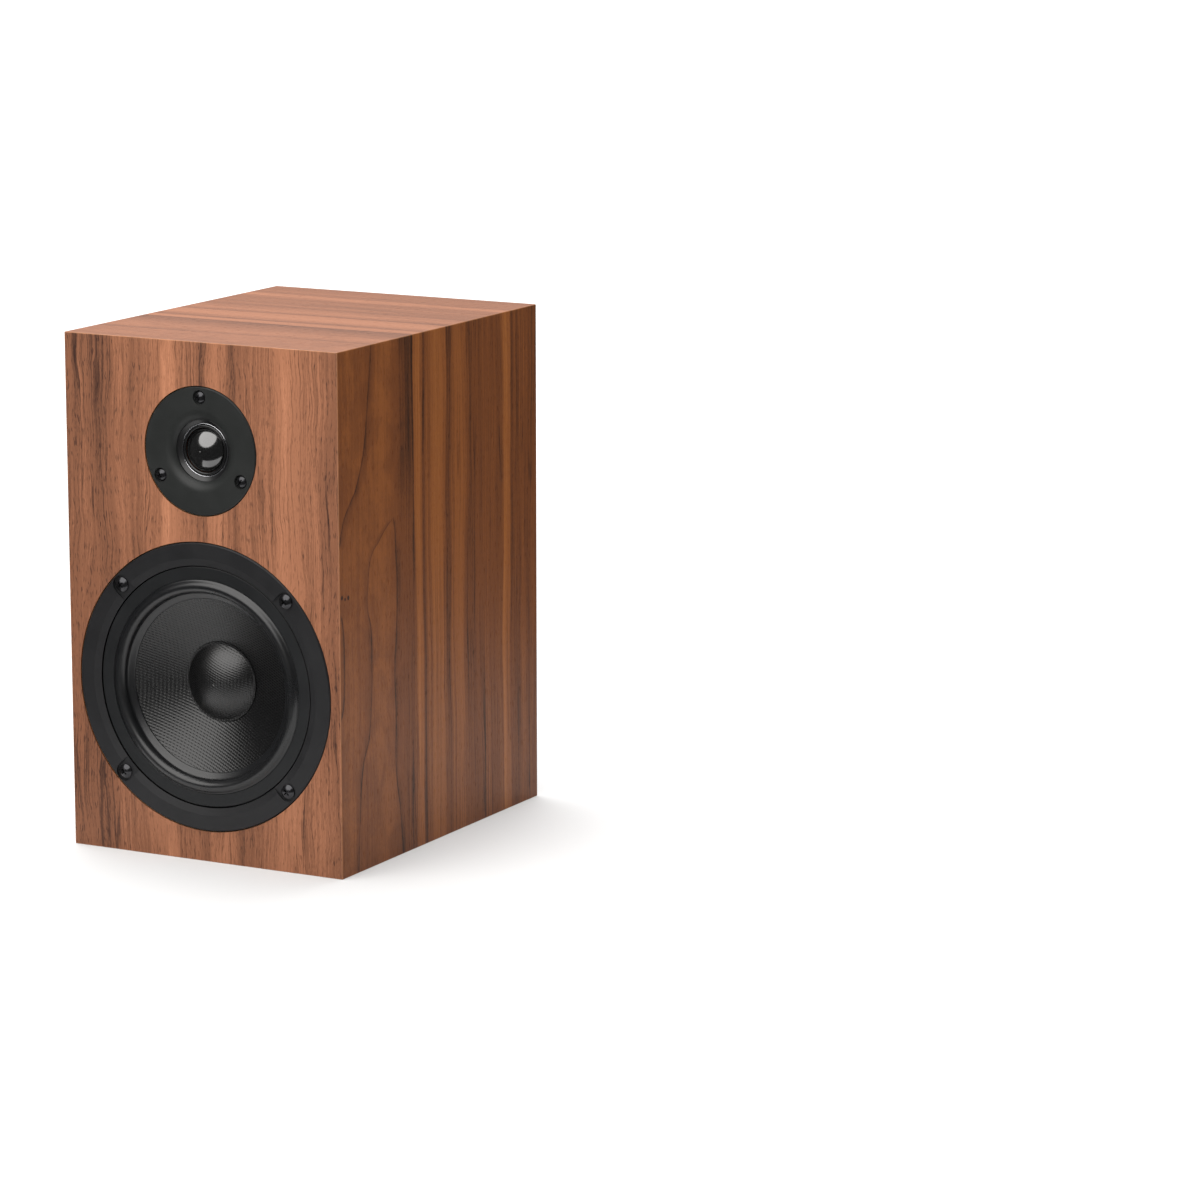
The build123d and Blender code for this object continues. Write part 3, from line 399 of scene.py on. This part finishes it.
# ---------------------------------------------------------------- other materials
def moulded(name, colour, rough, grain=0.35, grain_depth=0.02, cloud=0.12, metallic=0.0, strength=0.5, painted_shade_radii=None,
            **fixed):
    """A painted, moulded or plain surface: fine texture of that grain in millimetres and slight blotches.

    A pair of radii round the woofer's axis may be given; between them, deeper than 0.95 mm behind the baffle face, the
    colour is painted black as shade in the narrow slit below the flange.
    """
    g = Graph(name)
    x, y, z = g.millimetres()
    fine = g.noise(x / grain, y / grain, z / grain, detail=3)
    blotch = g.noise(x * 0.06, y * 0.06, z * 0.06, detail=3)
    pale = tuple(min(1.0, c * 1.35 + 0.004) for c in colour)
    deep = tuple(c * 0.72 for c in colour)
    shade = (fine - 0.5) * 0.5 + (blotch - 0.5) * cloud * 6 + 0.5
    tint = g.mix(shade.clamp(), deep, pale)
    if painted_shade_radii:
        # painted shade: black between the two radii, where the slit below the flange would lie in shadow
        dz = z - WOOFER_Z
        radius = g.math("SQRT", x * x + dz * dz)
        tint = g.mix((radius > painted_shade_radii[0]) * (radius < painted_shade_radii[1]) * (y > FRONT + 0.95), tint, (0.0, 0.0, 0.0))
    roughness = (blotch - 0.5) * 0.16 + (fine - 0.5) * 0.08 + rough
    return g.finish(tint, roughness.clamp(), metallic, g.bump(fine, grain_depth, strength), **fixed)


def woven(name, dark, light, pitch, rough, depth=0.06, twill=True, **fixed):
    """Cloth with its weft along X and its warp up Z, seen from the front."""
    g = Graph(name)
    x, y, z = g.millimetres()
    warp_wave = g.math("SINE", x * (2 * math.pi / pitch))
    shift = x * (math.pi / pitch) if twill else 0.0
    weft_wave = g.math("SINE", z * (2 * math.pi / (pitch * 0.8)) + shift)
    thread = weft_wave * 0.62 + warp_wave * weft_wave * 0.38
    uneven = g.noise(x * 0.9, z * 5.0, y * 0.9, detail=2)
    height = thread * 0.5 + 0.5
    # thread colour: random unevenness, and darker where a thread sinks between crossings, painted shade in the weave's
    # hollows
    shade = (height * 0.7 + uneven * 0.4 - 0.05).clamp()
    return g.finish(g.mix(shade, dark, light), g.range(height, 0, 1, rough + 0.12, rough, "LINEAR"),
                    normal=g.bump(height + uneven * 0.3, depth, 0.8), **fixed)


def wound(name, centre, pitch, axis="Y", colour=(0.45, 0.16, 0.07), rough=0.3):
    """Enamelled wire wound side by side round an axis, so the turns show as fine ridges along it."""
    g = Graph(name)
    x, y, z = g.millimetres()
    along = {"Y": y, "Z": z}[axis]
    if axis == "Y":
        du, dv = x - centre[0], z - centre[1]
    else:
        du, dv = x - centre[0], y - centre[1]
    radius = g.math("SQRT", du * du + dv * dv)
    turns = g.math("SINE", along * (2 * math.pi / pitch)) * g.math("SINE", radius * (2 * math.pi / pitch))
    ridge = g.math("SINE", along * (2 * math.pi / pitch)) * 0.5 + 0.5
    stray = g.noise(x * 0.5, y * 0.5, z * 0.5)
    dark = tuple(c * 0.35 for c in colour)
    # the wire is darker in the grooves between turns, painted shade, with a random cloud over it
    tint = g.mix((ridge * 0.7 + turns * 0.1 + stray * 0.3).clamp(), dark, colour)
    return g.finish(tint, rough, 0.85, g.bump(ridge, pitch * 0.3, 0.8), Coat_Weight=0.4, Coat_Roughness=0.15)


def turned_metal(name, colour, rough, centre_z=None, **fixed):
    """Machined or plated metal with fine marks."""
    g = Graph(name)
    x, y, z = g.millimetres()
    if centre_z is None:
        marks = g.noise(x * 6, y * 0.6, z * 6, detail=2)
    else:
        dz = z - centre_z
        radius = g.math("SQRT", x * x + dz * dz)
        marks = g.noise(radius * 9, y * 0.4, 0.0, detail=2)
    stain = g.noise(x * 0.15, y * 0.15, z * 0.15, detail=3)
    tint = g.mix((stain * 1.2 - 0.1).clamp(), tuple(c * 0.78 for c in colour), colour)
    return g.finish(tint, (marks - 0.5) * 0.2 + rough, 1.0, g.bump(marks, 0.01, 0.5), **fixed)


def striped(name, axis, pitch, share, stripe, base, rough):
    """A plain surface with fine stripes round it."""
    g = Graph(name)
    place = dict(zip("XYZ", g.millimetres()))
    phase = g.math("FRACT", place[axis] / pitch + 1000)
    grain = g.noise(place["X"] * 2, place["Y"] * 2, place["Z"] * 2, detail=3)
    tint = g.mix(phase < share, base, stripe)
    tint = g.mix(grain * 0.4, tint, tuple(c * 0.6 for c in base))
    return g.finish(tint, grain * 0.2 + rough, normal=g.bump(grain, 0.03, 0.4))


def circuit_board():
    """Green laminate with copper tracks under the resist on both faces."""
    g = Graph("circuit_board")
    x, y, z = g.millimetres()
    cell_x = g.math("FRACT", x / 12.5 + 100.3)
    cell_y = g.math("FRACT", y / 17.0 + 100.1)
    track = g.math("MAXIMUM", cell_x < 0.22, cell_y < 0.16)
    weave = g.math("SINE", x * 9) * g.math("SINE", y * 9) * 0.5 + 0.5
    green = g.mix(track, srgb(10, 62, 30), srgb(34, 112, 52))
    return g.finish(g.mix(weave * 0.2, green, srgb(6, 40, 20)), 0.3, normal=g.bump(track, 0.05, 0.6))


def two_leads():
    """Insulation: the lead on the +X side is red and the other is black."""
    g = Graph("lead_insulation")
    x, y, z = g.millimetres()
    scuff = g.noise(x * 1.5, y * 1.5, z * 1.5, detail=3)
    tint = g.mix(x > 0, srgb(26, 26, 28), srgb(170, 24, 20))
    return g.finish(g.mix(scuff * 0.3, tint, srgb(70, 50, 48)), 0.42, normal=g.bump(scuff, 0.02, 0.4))


KNOB = {"grain": 1.5, "grain_depth": 0.005, "cloud": 0.05, "Coat_Weight": 0.4, "Coat_Roughness": 0.08}
materials = {
    "walnut_veneer": walnut(),
    "black_board": moulded("black_board", srgb(34, 34, 35), 0.55, grain=0.9, grain_depth=0.05, cloud=0.08),
    "black_plastic": moulded("black_plastic", srgb(20, 21, 23), 0.45, grain=0.5, grain_depth=0.015,
                             Specular_IOR_Level=0.4),
    "trim_plastic": moulded("trim_plastic", srgb(12, 14, 16), 0.5, grain=0.4, grain_depth=0.02, painted_shade_radii=(69.55, 70.0),
                            Specular_IOR_Level=0.33),
    "basket_paint": moulded("basket_paint", srgb(20, 20, 22), 0.48, grain=0.45, grain_depth=0.03, painted_shade_radii=(66.0, 70.36),
                            Specular_IOR_Level=0.33),
    "plate_paint": moulded("plate_paint", srgb(26, 28, 27), 0.45, grain=0.4, grain_depth=0.02, Specular_IOR_Level=0.33),
    "foam": moulded("foam", srgb(36, 36, 38), 0.9, grain=0.8, grain_depth=0.15, strength=0.9),
    "rubber": moulded("rubber", srgb(10, 11, 13), 0.3, grain=0.7, grain_depth=0.01, cloud=0.06, Specular_IOR_Level=0.6),
    "cone_weave": woven("cone_weave", srgb(1, 1, 1), srgb(12, 12, 13), 2.1, 0.25, 0.16, Specular_IOR_Level=0.6),
    "cap_weave": woven("cap_weave", srgb(1, 1, 1), srgb(12, 12, 13), 1.8, 0.25, 0.13, Specular_IOR_Level=0.7),
    "aluminium": turned_metal("aluminium", srgb(200, 202, 205), 0.35, WOOFER_Z),
    "zinc_steel": turned_metal("zinc_steel", srgb(172, 174, 178), 0.38),
    "bright_metal": turned_metal("bright_metal", srgb(215, 216, 220), 0.14, TWEETER_Z),
    "gold": turned_metal("gold", srgb(228, 178, 92), 0.22),
    "ferrite": moulded("ferrite", srgb(58, 58, 61), 0.6, grain=0.6, grain_depth=0.05, cloud=0.2),
    "black_screw": moulded("black_screw", srgb(60, 60, 62), 0.22, grain=1.2, grain_depth=0.005, cloud=0.05,
                           metallic=0.9),
    "fibre_board": moulded("fibre_board", srgb(150, 104, 58), 0.6, grain=0.5, grain_depth=0.03, cloud=0.15),
    "felt": moulded("felt", srgb(96, 96, 98), 0.95, grain=0.4, grain_depth=0.3, strength=1.0),
    "nylon": moulded("nylon", srgb(226, 224, 214), 0.45, grain=0.8, grain_depth=0.01, cloud=0.04),
    "silk": moulded("silk", srgb(2, 2, 2), 0.15, grain=0.28, grain_depth=0.003, cloud=0.02, strength=0.2,
                    Specular_IOR_Level=1.0, Coat_Weight=1.0, Coat_Roughness=0.1, Coat_IOR=1.6),
    "roll_silk": moulded("roll_silk", srgb(9, 9, 10), 0.25, grain=0.28, grain_depth=0.004, cloud=0.02, strength=0.3),
    "clamp_paint": moulded("clamp_paint", srgb(16, 16, 17), 0.3, grain=0.4, grain_depth=0.01),
    "red_plastic": moulded("red_plastic", srgb(170, 16, 16), 0.22, **KNOB),
    "knob_black": moulded("knob_black", srgb(20, 20, 21), 0.22, **KNOB),
    "woofer_coil": wound("woofer_coil", (0, WOOFER_Z), 0.42),
    "tweeter_coil": wound("tweeter_coil", (0, TWEETER_Z), 0.2),
    "inductor_coil": wound("inductor_coil", (0, 0), 0.9, axis="Z"),
    "spider_cloth": woven("spider_cloth", srgb(112, 66, 18), srgb(205, 150, 66), 0.9, 0.75, 0.12, twill=False),
    "capacitor_tape": striped("capacitor_tape", "Y", 9.0, 0.12, srgb(150, 118, 20), srgb(214, 180, 60), 0.35),
    "cement": moulded("cement", srgb(222, 216, 202), 0.8, grain=0.7, grain_depth=0.08, cloud=0.06),
    "circuit_board": circuit_board(),
    "leads": two_leads(),
    "braid": striped("braid", "Z", 0.5, 0.5, srgb(190, 120, 76), srgb(120, 66, 36), 0.35),
    "wadding": moulded("wadding", srgb(226, 225, 220), 0.95, grain=0.9, grain_depth=0.5, strength=1.0, cloud=0.03),
}


def bare_board():
    """Fibreboard with no veneer, for the brace."""
    g = Graph("bare_board")
    x, y, z = g.millimetres()
    fibre = g.noise(x * 1.5, y * 1.5, z * 1.5, detail=4)
    return g.finish(fibreboard_colour(g, x, y, z), 0.85, normal=g.bump(fibre, 0.08, 0.7))


materials["bare_board"] = bare_board()

FINISHES = {
    "walnut_veneer": "front_baffle left_panel right_panel top_panel bottom_panel",
    "black_board": "back_panel",
    "bare_board": "window_brace",
    "black_plastic": "port_tube tweeter_rear_cup terminal_cup",
    "trim_plastic": "woofer_trim_ring",
    "basket_paint": "woofer_basket",
    "plate_paint": "tweeter_faceplate",
    "clamp_paint": "tweeter_clamp_ring",
    "foam": "woofer_gasket tweeter_gasket terminal_cup_gasket",
    "cone_weave": "woofer_cone",
    "cap_weave": "woofer_dust_cap",
    "aluminium": "woofer_former",
    "woofer_coil": "woofer_voice_coil",
    "tweeter_coil": "tweeter_voice_coil",
    "inductor_coil": "woofer_inductor tweeter_inductor",
    "zinc_steel": "woofer_top_plate woofer_yoke tweeter_top_plate tweeter_yoke crossover_screws",
    "ferrite": "woofer_magnet tweeter_magnet",
    "fibre_board": "woofer_terminal_strip tweeter_terminals",
    "black_screw": "woofer_screws tweeter_screws terminal_cup_screws",
    "bright_metal": "tweeter_bright_ring",
    "silk": "tweeter_dome",
    "felt": "tweeter_felt",
    "circuit_board": "crossover_board",
    "nylon": "crossover_standoffs",
    "capacitor_tape": "capacitors",
    "cement": "resistor",
    "gold": "post_stud_red post_stud_black post_nuts clamp_washer_red clamp_washer_black",
    "red_plastic": "knob_red",
    "knob_black": "knob_black",
    "leads": "input_wires woofer_wires tweeter_wires",
    "braid": "woofer_tinsel_leads",
}
for finish, names in FINISHES.items():
    for name in names.split():
        mesh = nodes[name].data
        mesh.materials.clear()
        mesh.materials.append(materials[finish])


# ---------------------------------------------------------------- rings that stretch between a frame and a moving part
def arc(centre_r, centre_d, radius, start, end, steps):
    """Points (radius, depth) along an arc, its angle in degrees from straight out, turning forwards."""
    points = []
    for step in range(steps + 1):
        angle = math.radians(start + (end - start) * step / steps)
        points.append((centre_r + radius * math.cos(angle), centre_d - radius * math.sin(angle)))
    return points


def lathe(name, section, height, finish, turns=256):
    """Turns a closed section of (radius, depth) in millimetres about the driver's axis."""
    verts, faces = [], []
    count = len(section)
    for turn in range(turns):
        angle = 2 * math.pi * turn / turns
        for radius, depth in section:
            across, up = radius * math.cos(angle), height + radius * math.sin(angle)
            verts.append((across * MM, (FRONT + depth) * MM, up * MM))
    for turn in range(turns):
        here, beyond = turn * count, (turn + 1) % turns * count
        for index in range(count):
            after = (index + 1) % count
            faces.append((here + index, here + after, beyond + after, beyond + index))
    mesh = bpy.data.meshes.new(name)
    mesh.from_pydata(verts, [], faces)
    mesh.validate()
    mesh.polygons.foreach_set("use_smooth", [True] * len(mesh.polygons))
    mesh.materials.append(materials[finish])
    piece = bpy.data.objects.new(name, mesh)
    scene.collection.objects.link(piece)
    return piece


def stretch(piece):
    """Bakes the ring's placement into its mesh."""
    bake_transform(piece)


ROLL_MID, ROLL_D, ROLL_R, RUBBER = 58.1, 3.0, 3.7, 0.8
front_roll = [(62.14, 1.34), (61.85, 1.27), (61.5, 1.08), (61.1, 0.75)] + arc(ROLL_MID, ROLL_D, ROLL_R, 45, 172, 26)
back_roll = arc(ROLL_MID, ROLL_D, ROLL_R - RUBBER, 172, 8, 28)
surround_section = (
    [(69.5, 2.66), (66.0, 2.64), (63.2, 2.62), (62.14, 2.60)] + front_roll
    + [(54.25, 3.55), (53.9, 3.95), (53.4, 4.30), (52.2, 4.92), (51.2, 5.42), (50.7, 5.70), (50.5, 5.95), (50.5, 6.34)]
    + [(51.2, 6.02), (52.6, 5.33), (53.8, 4.74), (54.8, 4.25), (55.15, 3.5)] + back_roll
    + [(61.6, 3.3), (62.6, 3.38), (66.0, 3.39), (69.5, 3.38)]
)
surround = lathe("rubber_surround", surround_section, WOOFER_Z, "rubber")
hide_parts("woofer_surround")
stretch(surround)

SPIDER_D, SPIDER_IN_R, SPIDER_OUT_R, WAVES, WAVE_DEPTH, CLOTH, STEPS = 28.0, 17.8, 36.4, 5, 1.2, 0.42, 120
spider_front = [(16.15, SPIDER_D), (17.2, SPIDER_D)]
for step in range(STEPS + 1):
    radius = SPIDER_IN_R + (SPIDER_OUT_R - SPIDER_IN_R) * step / STEPS
    spider_front.append((radius, SPIDER_D - WAVE_DEPTH * math.sin(2 * math.pi * WAVES * step / STEPS)))
spider_front += [(37.2, 28.0), (40.0, 28.02), (43.3, 28.02)]
spider_section = spider_front + [(radius, depth + CLOTH) for radius, depth in reversed(spider_front)]
spider = lathe("corrugated_spider", spider_section, WOOFER_Z, "spider_cloth")
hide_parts("woofer_spider")
stretch(spider)

# the braided leads hang between the terminal strip and the cone
leads = bpy.data.objects.new("braided_leads", nodes["woofer_tinsel_leads"].data.copy())
scene.collection.objects.link(leads)
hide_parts("woofer_tinsel_leads")
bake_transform(leads)

SILK_MID, SILK_D, SILK_R, SILK_T = 13.65, 5.6, 1.0, 0.25
small_roll = arc(SILK_MID, SILK_D, SILK_R, 0, 180, 16)
small_back = arc(SILK_MID, SILK_D, SILK_R - SILK_T, 180, 0, 16)
dome_roll = lathe("silk_surround", small_roll + small_back + [(14.4, 5.9), (21.5, 5.88), (21.5, 5.62), (14.75, 5.62)],
                  TWEETER_Z, "roll_silk", turns=192)
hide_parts("tweeter_surround")
stretch(dome_roll)

ring_section = arc(15.05, 5.2, 0.3, 0, 180, 16) + [(14.75, 5.6), (15.35, 5.6)]
bright_ring = lathe("round_bright_ring", ring_section, TWEETER_Z, "bright_metal", turns=192)
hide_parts("tweeter_bright_ring")
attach(bright_ring, "cabinet")


# ---------------------------------------------------------------- wadding
def wadding_pad(node, seed):
    """A loose fibre pad the size of its CAD solid, thinner towards its edges."""
    lo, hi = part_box(node)
    size = hi - lo
    thin = min(range(3), key=lambda axis: size[axis])
    wide = [axis for axis in range(3) if axis != thin]
    counts = [max(8, round(size[axis] / 0.004)) for axis in wide]
    inner = -1 if abs(lo[thin] + hi[thin]) < 0.01 else (1 if (lo[thin] + hi[thin]) < 0 else -1)
    verts, faces = [], []
    for face_side in (0, 1):
        for i in range(counts[0] + 1):
            for j in range(counts[1] + 1):
                a, b = i / counts[0], j / counts[1]
                rim = min(a, 1 - a, b, 1 - b) * 12
                plump = 1 - max(0.0, 1 - rim) ** 2.2
                lump = noise.noise(Vector((a * 9, b * 9, seed))) * 0.09
                lump += noise.noise(Vector((a * 40, b * 40, seed))) * 0.05
                thick = size[thin] * min(1.0, max(0.22, 0.22 + 0.68 * plump + lump))
                point = [0.0, 0.0, 0.0]
                point[wide[0]] = lo[wide[0]] + size[wide[0]] * (0.004 + 0.992 * a)
                point[wide[1]] = lo[wide[1]] + size[wide[1]] * (0.004 + 0.992 * b)
                outer = hi[thin] if inner < 0 else lo[thin]
                point[thin] = outer if face_side == 0 else outer + inner * thick
                verts.append(tuple(point))
    row = counts[1] + 1
    sheet = (counts[0] + 1) * row
    for i in range(counts[0]):
        for j in range(counts[1]):
            k = i * row + j
            faces.append((k, k + 1, k + row + 1, k + row))
            faces.append((sheet + k, sheet + k + row, sheet + k + row + 1, sheet + k + 1))
    border = ([i * row for i in range(counts[0] + 1)] + [counts[0] * row + j for j in range(1, counts[1] + 1)]
              + [i * row + counts[1] for i in range(counts[0] - 1, -1, -1)] + [j for j in range(counts[1] - 1, 0, -1)])
    for here, beyond in zip(border, border[1:] + border[:1]):
        faces.append((here, beyond, sheet + beyond, sheet + here))
    mesh = bpy.data.meshes.new("fibre_" + node)
    mesh.from_pydata(verts, [], faces)
    mesh.validate()
    mesh.polygons.foreach_set("use_smooth", [True] * len(mesh.polygons))
    mesh.materials.append(materials["wadding"])
    piece = bpy.data.objects.new("fibre_" + node, mesh)
    scene.collection.objects.link(piece)
    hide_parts(node)
    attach(piece, "cabinet")


for seed, node in enumerate(("wadding_left", "wadding_right", "wadding_top")):
    wadding_pad(node, 3.7 + seed * 11)


# ---------------------------------------------------------------- floor, light and background
def pale_floor():
    """Matt and pale, and lit up a little more with distance so that it fades into the background."""
    g = Graph("pale_floor")
    x, y, z = g.millimetres()
    paper = g.noise(x * 0.01, y * 0.01, detail=3)
    away = g.math("SQRT", x * x + y * y)
    g.shader.inputs["Emission Color"].default_value = (1, 1, 1, 1)
    g.link(g.range(away, 500, 3000, 0.2, 1.0), g.shader.inputs["Emission Strength"])
    return g.finish(g.mix(paper, (0.55, 0.55, 0.55), (0.57, 0.57, 0.57)), 0.9, Specular_IOR_Level=0.0)


def floor_piece(name, rectangles, material, in_reflections):
    """Flat rectangles (x0, y0, x1, y1) in metres. The far floor is left out of reflections, like a small table's."""
    verts, faces = [], []
    for x0, y0, x1, y1 in rectangles:
        first = len(verts)
        verts += [(x0, y0, 0), (x1, y0, 0), (x1, y1, 0), (x0, y1, 0)]
        faces.append((first, first + 1, first + 2, first + 3))
    mesh = bpy.data.meshes.new(name)
    mesh.from_pydata(verts, [], faces)
    mesh.materials.append(material)
    floor = bpy.data.objects.new(name, mesh)
    floor.visible_glossy = in_reflections
    scene.collection.objects.link(floor)


def area_light(name, place, aim, size, power, colour=(1, 1, 1)):
    """A round softbox at a place, turned towards a point."""
    data = bpy.data.lights.new(name, "AREA")
    data.shape = "DISK"
    data.size = size
    data.energy = power
    data.color = colour
    light = bpy.data.objects.new(name, data)
    light.location = place
    light.rotation_euler = (Vector(aim) - Vector(place)).to_track_quat("-Z", "Y").to_euler()
    scene.collection.objects.link(light)


floor_material = pale_floor()
LEFT, RIGHT, NEAR, BACK, FAR = -0.15, 0.5, -0.34, 0.45, 60.0
floor_piece("table", [(LEFT, NEAR, RIGHT, BACK)], floor_material, True)
around = [(-FAR, -FAR, FAR, NEAR), (-FAR, BACK, FAR, FAR), (-FAR, NEAR, LEFT, BACK), (RIGHT, NEAR, FAR, BACK)]
floor_piece("floor", around, floor_material, False)
# the key softbox stands where it is reflected in the upper half of the dome
DOME = Vector((0, (FRONT + 2) * MM, TWEETER_Z * MM))
area_light("key", DOME + Vector((-0.133, -0.732, 0.677)) * 1.55, DOME, 2.2, 37, (1.0, 0.98, 0.96))
area_light("overhead", (-0.4, 0.6, 2.2), (0, 0, 0.1), 2.0, 74)

# the room lights the object evenly, is dark in reflections but for a pale backdrop, and is white to the camera
ROOM, ROOM_REFLECTED, BACKDROP, WHITE = 0.4, 0.06, 0.4, 1.0
world = bpy.data.worlds.new("studio")
scene.world = world
world.use_nodes = True
tree = world.node_tree
background = tree.nodes["Background"]
background.inputs["Color"].default_value = (1, 1, 1, 1)
background.inputs["Strength"].default_value = ROOM
seen = tree.nodes.new("ShaderNodeBackground")
seen.inputs["Color"].default_value = (1, 1, 1, 1)
seen.inputs["Strength"].default_value = WHITE
dark = tree.nodes.new("ShaderNodeBackground")
dark.inputs["Color"].default_value = (1, 1, 1, 1)
room = tree.nodes.new("ShaderNodeTexCoord")
direction = tree.nodes.new("ShaderNodeSeparateXYZ")
tree.links.new(room.outputs["Generated"], direction.inputs[0])
behind = tree.nodes.new("ShaderNodeMapRange")
behind.inputs["From Min"].default_value, behind.inputs["From Max"].default_value = 0.2, 0.6
above = tree.nodes.new("ShaderNodeMapRange")
above.inputs["From Min"].default_value, above.inputs["From Max"].default_value = 0.02, 0.15
above.inputs["To Max"].default_value = BACKDROP
tree.links.new(direction.outputs["Y"], behind.inputs["Value"])
tree.links.new(direction.outputs["Z"], above.inputs["Value"])
backdrop = tree.nodes.new("ShaderNodeMath")
backdrop.operation = "MULTIPLY_ADD"
tree.links.new(behind.outputs[0], backdrop.inputs[0])
tree.links.new(above.outputs[0], backdrop.inputs[1])
backdrop.inputs[2].default_value = ROOM_REFLECTED
tree.links.new(backdrop.outputs[0], dark.inputs["Strength"])
path = tree.nodes.new("ShaderNodeLightPath")
reflected = tree.nodes.new("ShaderNodeMixShader")
tree.links.new(path.outputs["Is Glossy Ray"], reflected.inputs[0])
tree.links.new(background.outputs[0], reflected.inputs[1])
tree.links.new(dark.outputs[0], reflected.inputs[2])
choose = tree.nodes.new("ShaderNodeMixShader")
tree.links.new(path.outputs["Is Camera Ray"], choose.inputs[0])
tree.links.new(reflected.outputs[0], choose.inputs[1])
tree.links.new(seen.outputs[0], choose.inputs[2])
tree.links.new(choose.outputs[0], tree.nodes["World Output"].inputs["Surface"])
